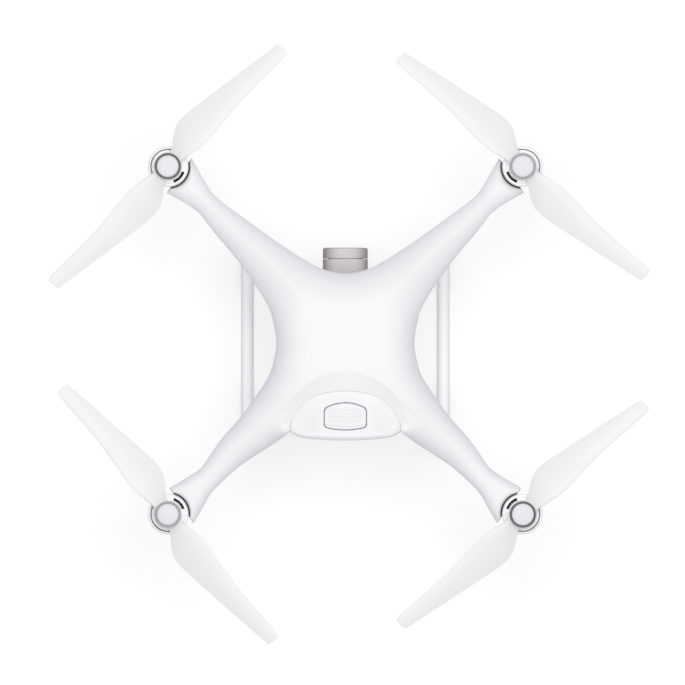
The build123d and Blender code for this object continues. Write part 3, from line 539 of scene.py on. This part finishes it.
def blade_mesh(lead, flip):
    """Points and faces of one blade along +X or, flipped, along -X.

    Before the flip, its leading edge faces +Y where lead is 1, and -Y where it is -1."""
    root_r, tip_r = BLADE[0][0], BLADE[-1][0]
    verts, faces = [], []
    for i in range(BLADE_STATIONS):
        t = i / (BLADE_STATIONS - 1)
        r = mix(root_r, tip_r, 1 - (1 - t) ** 1.6)
        trail, front, thick, pitch = (table_value(BLADE, r, column) for column in (1, 2, 3, 4))
        near = max(0.0, (r - (tip_r - TIP_R)) / TIP_R)
        shrink = 1 - TIP_R * (1 - math.sqrt(max(0.0, 1 - near * near))) / ((front - trail) / 2)
        middle = (trail + front) / 2
        half = (front - trail) / 2 * shrink
        thick = thick * (0.5 + 0.5 * math.sqrt(max(0.0, 1 - near * near)))
        tilt = math.tan(math.radians(pitch))
        ring = []
        for side in (1, -1):
            for j in range(BLADE_AROUND):
                s = j / (BLADE_AROUND - 1)
                if side < 0:
                    s = 1 - s
                if j == BLADE_AROUND - 1:
                    continue
                chord = 0.5 - 0.5 * math.cos(math.pi * s)
                body = 2.6 * (0.2969 * math.sqrt(chord) - 0.126 * chord - 0.3516 * chord ** 2
                              + 0.2843 * chord ** 3 - 0.1036 * chord ** 4) / 0.6
                y = middle + half - 2 * half * chord
                camber = BLADE_CAMBER * 2 * half * (1 - (2 * chord - 0.8) ** 2)
                z = tilt * (y - middle) + camber + side * body * thick * 0.95
                rake = TIP_RAKE * (y - middle) * step(r, tip_r - TIP_RAKE_SPAN, tip_r)
                ring.append((r - abs(rake) if rake < 0 else r, lead * y, BLADE_Z + z))
        verts += ring
    n = len(ring)
    for i in range(BLADE_STATIONS - 1):
        for j in range(n):
            k = (j + 1) % n
            faces.append((i * n + j, i * n + k, (i + 1) * n + k, (i + 1) * n + j))
    faces.append(tuple(range(n)))
    faces.append(tuple((BLADE_STATIONS - 1) * n + j for j in reversed(range(n))))
    if flip:
        verts = [(-x, -y, z) for x, y, z in verts]
    return verts, faces


def lathe(profile):
    """Points and faces of a profile of (radius, height) turned about Z."""
    count = LATHE_COUNT
    verts, faces = [], []
    for r, z in profile:
        for j in range(count):
            a = 2 * math.pi * j / count
            verts.append((r * math.cos(a), r * math.sin(a), z))
    for i in range(len(profile) - 1):
        for j in range(count):
            k = (j + 1) % count
            faces.append((i * count + j, i * count + k, (i + 1) * count + k, (i + 1) * count + j))
    return verts, faces


def place(verts, x, y, degrees):
    """Points turned about Z and moved to x, y."""
    a = math.radians(degrees)
    return [(x + px * math.cos(a) - py * math.sin(a), y + px * math.sin(a) + py * math.cos(a), z)
            for px, py, z in verts]


def join(parts):
    """One list of points and faces from several."""
    verts, faces = [], []
    for part_verts, part_faces in parts:
        start = len(verts)
        verts += part_verts
        faces += [tuple(start + k for k in face) for face in part_faces]
    return verts, faces


def build_propellers(materials):
    """Four propellers, each with its two blades and hub in one piece and its cap in another."""
    for corner, turn, angle in ROTORS:
        lead = -1 if turn == "clockwise" else 1
        x, y = CORNERS[corner][0] * MOTOR_X, CORNERS[corner][1] * MOTOR_Y
        verts, faces = join([blade_mesh(lead, False), blade_mesh(lead, True), lathe(HUB_PROFILE)])
        blades = make_object(f"prop_{corner}", place(verts, x, y, angle), faces, materials["propeller"])
        verts, faces = lathe(CAP_PROFILE)
        cap = make_object(f"prop_cap_{corner}", place(verts, x, y, 0), faces, materials["cap"])
        for piece in (blades, cap):
            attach(piece, f"blades_{corner}")
        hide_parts(f"propeller_{corner}")
        split_edges(blades)


# ---- battery ----
PLAN_CURVES = {}  # curves that plan_y has already worked out, by their first point


def plan_y(points, x):
    """The y of a plan curve at a sideways distance x, for a curve that starts in the middle."""
    if points[0] not in PLAN_CURVES:
        PLAN_CURVES[points[0]] = smooth_curve(points, 300)
    curve = PLAN_CURVES[points[0]]
    x = abs(x)
    for a, b in zip(curve, curve[1:]):
        if b.x >= x:
            return mix(a.y, b.y, 0 if b.x == a.x else (x - a.x) / (b.x - a.x))
    return curve[-1].y


def in_latch(x, y, margin):
    """Signed distance outside the latch, whose front and rear edges are arched."""
    corner = LATCH_CORNER
    share = (x / LATCH_X) ** 2
    dx = abs(x) - (LATCH_X + margin - corner)
    front = LATCH_FRONT + FRONT_ARCH * share - margin + corner
    rear = LATCH_REAR - REAR_ARCH * share + margin - corner
    dy = max(front - y, y - rear)
    outside = math.hypot(max(dx, 0), max(dy, 0)) + min(max(dx, dy), 0)
    return outside - corner


def battery_end_height(x, y, cover):
    """Top of the battery's exposed end, with a pocket that holds the latch."""
    z = top_height(x, y, True) + 0.1 - edge_drop(y - cover, 0.1)
    return z - POCKET_DEPTH * (1 - step(in_latch(x, y, 0.0), 0.0, 0.25))


def rear_pocket(x, z):
    """Depth of the pockets for the power button and the charge lights in the battery's rear face."""
    depth = BUTTON_POCKET * (1 - step(math.hypot(x, z - BUTTON_Z) - BUTTON_R, 0.0, 0.25))
    for light in LIGHT_X:
        reach = math.hypot(x - light, z - LIGHT_Z) - LIGHT_R
        depth = max(depth, LIGHT_POCKET * (1 - step(reach, 0.0, 0.2)))
    return depth


def wall_levels(high, low):
    """Heights down the battery's rear face, closer together over its button and lights."""
    fine_top = BUTTON_Z + BUTTON_R + 0.7
    fine_bottom = LIGHT_Z - LIGHT_R - 0.7
    fine = round((fine_top - fine_bottom) / 0.3)
    levels = [mix(high, fine_top, k / 4) for k in range(1, 5)]
    levels += [mix(fine_top, fine_bottom, k / fine) for k in range(1, fine + 1)]
    levels += [mix(fine_bottom, low, k / 12) for k in range(1, 13)]
    return levels


def battery_underside(x, rear_edge, cover):
    """Points along the battery's underside from its rear edge forward.

    A pocket in it makes room for the lower latch."""
    rear = min(rear_edge - 0.6, LATCH_REAR + 0.6)
    pocket = UNDER_POCKET if abs(x) < LATCH_X + 0.5 else 0.0
    rows = [(rear, 0.0), (rear - 0.1, pocket), (LATCH_FRONT - 0.5, pocket), (LATCH_FRONT - 0.6, 0.0),
            (cover + 2, 0.0)]
    points = []
    for y, rise in rows:
        y = min(max(y, cover + 2), rear_edge)
        points.append((x, y, bottom_height(x, y) - 0.2 + rise))
    return points


def build_battery_end(material):
    """The battery's exposed end: its top, its rear face and its underside, closed at the front and sides."""
    grid = []
    for i in range(END_COLUMNS):
        x = mix(-END_X, END_X, i / (END_COLUMNS - 1))
        cover = plan_y(COVER_EDGE, x) + COVER_SEAM
        tail = plan_y(TAIL_EDGE, x)
        line = [(x, cover + 1.2, END_LOW_Z), (x, cover, END_LOW_Z)]
        for j in range(END_ROWS):
            y = mix(cover, tail, 1 - (1 - j / (END_ROWS - 1)) ** 1.25)
            line.append((x, y, battery_end_height(x, y, cover)))
        bottom = bottom_height(x, tail) + 0.5
        for z in wall_levels(line[-1][2], bottom):
            inward = min(edge_drop(z - bottom, 6.0) * 0.9, tail - cover - 0.6)
            line.append((x, tail - inward - rear_pocket(x, z), z))
        grid.append(line + battery_underside(x, line[-1][1], cover))
    size = len(grid[0])
    faces = grid_faces(0, len(grid), size)
    faces.append(tuple(range(size)))
    faces.append(tuple(reversed(range(size * (END_COLUMNS - 1), size * END_COLUMNS))))
    verts = [p for line in grid for p in line]
    return make_object("battery_end", verts, faces, material)


def rounded_box(name, low, high, radius, material):
    """A box with bevelled edges."""
    mesh = bpy.data.meshes.new(name)
    bm = bmesh.new()
    bmesh.ops.create_cube(bm, size=1.0)
    size = [(b - a) * MM for a, b in zip(low, high)]
    centre = [(a + b) / 2 * MM for a, b in zip(low, high)]
    bmesh.ops.scale(bm, vec=size, verts=bm.verts)
    bmesh.ops.translate(bm, vec=centre, verts=bm.verts)
    bmesh.ops.bevel(bm, geom=bm.edges[:], offset=radius * MM, segments=3, profile=0.5,
                    affect="EDGES")
    bm.to_mesh(mesh)
    bm.free()
    mesh.materials.append(material)
    mesh.shade_smooth()
    obj = bpy.data.objects.new(name, mesh)
    bpy.context.scene.collection.objects.link(obj)
    split_edges(obj)
    return obj


def latch_ribs(x, y):
    """Relief of the latch: a dip for the finger, a grid of ribs and a ridge near the rear edge."""
    share = (x / LATCH_X) ** 2
    from_front = y - LATCH_FRONT - FRONT_ARCH * share
    from_rear = LATCH_REAR - REAR_ARCH * share - y
    level = -FINGER_DIP * (1 - step(from_front, 0.0, FINGER_LENGTH))
    level += REAR_RIDGE * (1 - step(abs(from_rear - 3.0), 0.3, 0.8))
    if abs(x) > RIB_X or from_front < RIB_FRONT or from_rear < RIB_REAR:
        return level
    across = abs(((x / RIB_PITCH) % 1.0) - 0.5) * RIB_PITCH
    along = abs((((y - LATCH_FRONT) / RIB_PITCH) % 1.0) - 0.5) * RIB_PITCH
    edge = RIB_PITCH / 2
    cut = max(step(across, edge - RIB_SLOPE, edge), step(along, edge - RIB_SLOPE, edge))
    return level - RIB_DEPTH * cut


def build_latch(material):
    """The upper battery latch with its relief, and a skirt down its edge into the pocket."""
    grid, inside = [], []
    for i in range(LATCH_COLUMNS):
        x = mix(-LATCH_X, LATCH_X, i / (LATCH_COLUMNS - 1))
        line = []
        for j in range(LATCH_ROWS):
            y = mix(LATCH_FRONT, LATCH_REAR, j / (LATCH_ROWS - 1))
            out = in_latch(x, y, -LATCH_GAP)
            inside.append(out < 0.25)
            z = top_height(x, y, True)
            z += latch_ribs(x, y) + LATCH_RISE - edge_drop(max(0.0, -out), LATCH_EDGE_R)
            z -= LATCH_SKIRT * step(out, 0.0, 0.2)
            line.append((x, y, z))
        grid.append(line)
    faces = grid_faces(0, LATCH_COLUMNS, LATCH_ROWS)
    faces = [face for face in faces if all(inside[corner] for corner in face)]
    return make_object("battery_latch_top", [p for line in grid for p in line], faces, material)


# ---- scene ----
def build_floor(material):
    """A pale floor that fades into the background."""
    mesh = bpy.data.meshes.new("floor")
    corners = [(-1, -1), (1, -1), (1, 1), (-1, 1)]
    verts = [(x * FLOOR_SIZE, y * FLOOR_SIZE, FLOOR_Z) for x, y in corners]
    mesh.from_pydata(verts, [], [(0, 1, 2, 3)])
    mesh.materials.append(material)
    floor = bpy.data.objects.new("floor", mesh)
    bpy.context.scene.collection.objects.link(floor)


def area_light(name, place, aim, size, power):
    """A white rectangular light turned towards a point."""
    light = bpy.data.lights.new(name, "AREA")
    light.shape = "RECTANGLE"
    light.size, light.size_y = size
    light.energy = power
    obj = bpy.data.objects.new(name, light)
    obj.location = place
    obj.rotation_euler = (Vector(aim) - Vector(place)).to_track_quat("-Z", "Y").to_euler()
    bpy.context.scene.collection.objects.link(obj)


def build_camera():
    """Distant camera with a long lens, straight above, with the nose at the top of the picture."""
    data = bpy.data.cameras.new("camera")
    data.sensor_width = 36.0
    data.lens = data.sensor_width * (CAMERA_HEIGHT - ARM_PLANE) / PICTURE_WIDTH
    data.clip_end = 3 * CAMERA_HEIGHT
    obj = bpy.data.objects.new("camera", data)
    obj.location = (CAMERA_X, CAMERA_Y, CAMERA_HEIGHT)
    obj.rotation_euler = (0, 0, math.pi)
    bpy.context.scene.collection.objects.link(obj)
    bpy.context.scene.camera = obj


def build_world():
    """Even pale light from all round."""
    world = bpy.data.worlds.new("studio")
    world.use_nodes = True
    back = world.node_tree.nodes["Background"]
    back.inputs["Color"].default_value = (0.985, 0.985, 1.0, 1)
    back.inputs["Strength"].default_value = 0.71
    bpy.context.scene.world = world


# the CAD's material slots, each with the material that it gets
SLOT_MATERIALS = {
    "white_shell": "white", "white_plastic": "satin", "propeller": "propeller", "ring_dark": "ring_dark",
    "ring_grey": "ring_grey", "motor_metal": "metal", "stator": "stator", "steel": "steel",
    "magnesium": "magnesium", "board": "board", "ceramic": "ceramic", "rubber": "rubber",
    "dark_lens": "lens", "clear_lens": "clear", "gimbal_metal": "gimbal", "dark_plastic": "dark",
    "contact": "brass", "cell": "cell",
}


def paint(node, material):
    """Give a CAD node's object a material."""
    mesh = frame["nodes"][node].data
    if not mesh.materials:
        mesh.materials.append(material)
    for k in range(len(mesh.materials)):
        mesh.materials[k] = material


def make_materials():
    """Every material, by the name that this script uses for it."""
    return {
        # The side shade colours below are painted shade on faces that turn from level to upright.
        "white": surface("shell_white", (0.73, 0.73, 0.735), 0.5, vary=0.004, bump=0.01,
                         rough_vary=0.015, painted_side_shade=(0.61, 0.605, 0.65), shine=0.3),
        "satin": surface("satin_white", (0.74, 0.74, 0.75), 0.45, vary=0.006, bump=0.01, rough_vary=0.02,
                         painted_side_shade=(0.66, 0.655, 0.69)),
        "propeller": surface("prop_white", (0.705, 0.705, 0.71), 0.5, vary=0.004, bump=0.01,
                             rough_vary=0.015, shine=0.3),
        # Lightened copy of the satin white: painted light that lifts the landing gear out of the body's
        # shadow. Its side shade colour is painted shade.
        "gear": surface("gear_white_lightened", (0.93, 0.93, 0.935), 0.5, vary=0.004, bump=0.01, rough_vary=0.02,
                        painted_side_shade=(0.70, 0.695, 0.73), shine=0.3),
        "cap": surface("cap_grey", (0.62, 0.625, 0.64), 0.45, vary=0.01, shine=0.3),
        "metal": motor_metal(),
        "gimbal": surface("gimbal_metal", (0.63, 0.605, 0.59), 0.65, vary=0.02, shine=0.3,
                          painted_side_shade=(0.27, 0.255, 0.245)),
        "ring_dark": surface("ring_dark", (0.020, 0.020, 0.022), 0.4),
        "ring_grey": surface("ring_grey", (0.24, 0.24, 0.25), 0.4),
        "steel": surface("steel", (0.45, 0.45, 0.46), 0.35, metal=1.0),
        "magnesium": surface("magnesium", (0.26, 0.26, 0.27), 0.55, metal=0.8, grain=900, bump=0.2),
        "stator": surface("stator", (0.045, 0.045, 0.048), 0.45, metal=0.3),
        "board": surface("board", (0.012, 0.075, 0.035), 0.4, vary=0.2, grain=700, bump=0.3),
        "ceramic": surface("ceramic", (0.48, 0.43, 0.32), 0.5, vary=0.05),
        "rubber": surface("rubber", (0.02, 0.02, 0.02), 0.75, vary=0.2, bump=0.3),
        "lens": surface("dark_lens", (0.006, 0.006, 0.010), 0.06, coat=1.0, bump=0.0, rough_vary=0.02),
        "clear": surface("light_cover", (0.62, 0.63, 0.66), 0.2, coat=0.5),
        "dark": surface("dark_plastic", (0.025, 0.025, 0.028), 0.45, vary=0.1),
        "brass": surface("contact_brass", (0.62, 0.44, 0.16), 0.3, metal=1.0),
        "cell": surface("cell_pouch", (0.16, 0.17, 0.20), 0.35, metal=0.3),
        "floor": surface("floor_white", (0.40, 0.40, 0.40), 0.9, vary=0.001, bump=0.0, shine=0.0,
                         glow=0.58),
    }


def main():
    """Paint the CAD's pieces, build those that replace them, and set up the studio."""
    materials = make_materials()
    for part in frame["record"]["subparts"]:
        paint(part["node"], materials[SLOT_MATERIALS[part["material_slot"]]])
    # The landing gear gets the lightened copy of the satin white: painted light against the body's shadow.
    for node in ("landing_gear_left", "landing_gear_right"):
        paint(node, materials["gear"])
    paint("link_button", materials["satin"])

    shell = build_upper_shell(materials["white"])
    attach(shell, "airframe")
    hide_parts("upper_shell")

    end = build_battery_end(materials["white"])
    case = rounded_box("battery_case_body", *BATTERY_CASE, BATTERY_CASE_R, materials["satin"])
    for piece in (end, case):
        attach(piece, "battery")
    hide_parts("battery_case")
    latch = build_latch(materials["white"])
    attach(latch, "top_latch")
    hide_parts("battery_top_latch")
    build_propellers(materials)

    build_floor(materials["floor"])
    area_light("overhead", (-0.10, -0.25, 2.60), (0, 0, 0.15), (1.3, 1.3), 36)
    build_camera()
    build_world()
    bpy.context.scene.view_settings.view_transform = "Standard"


main()
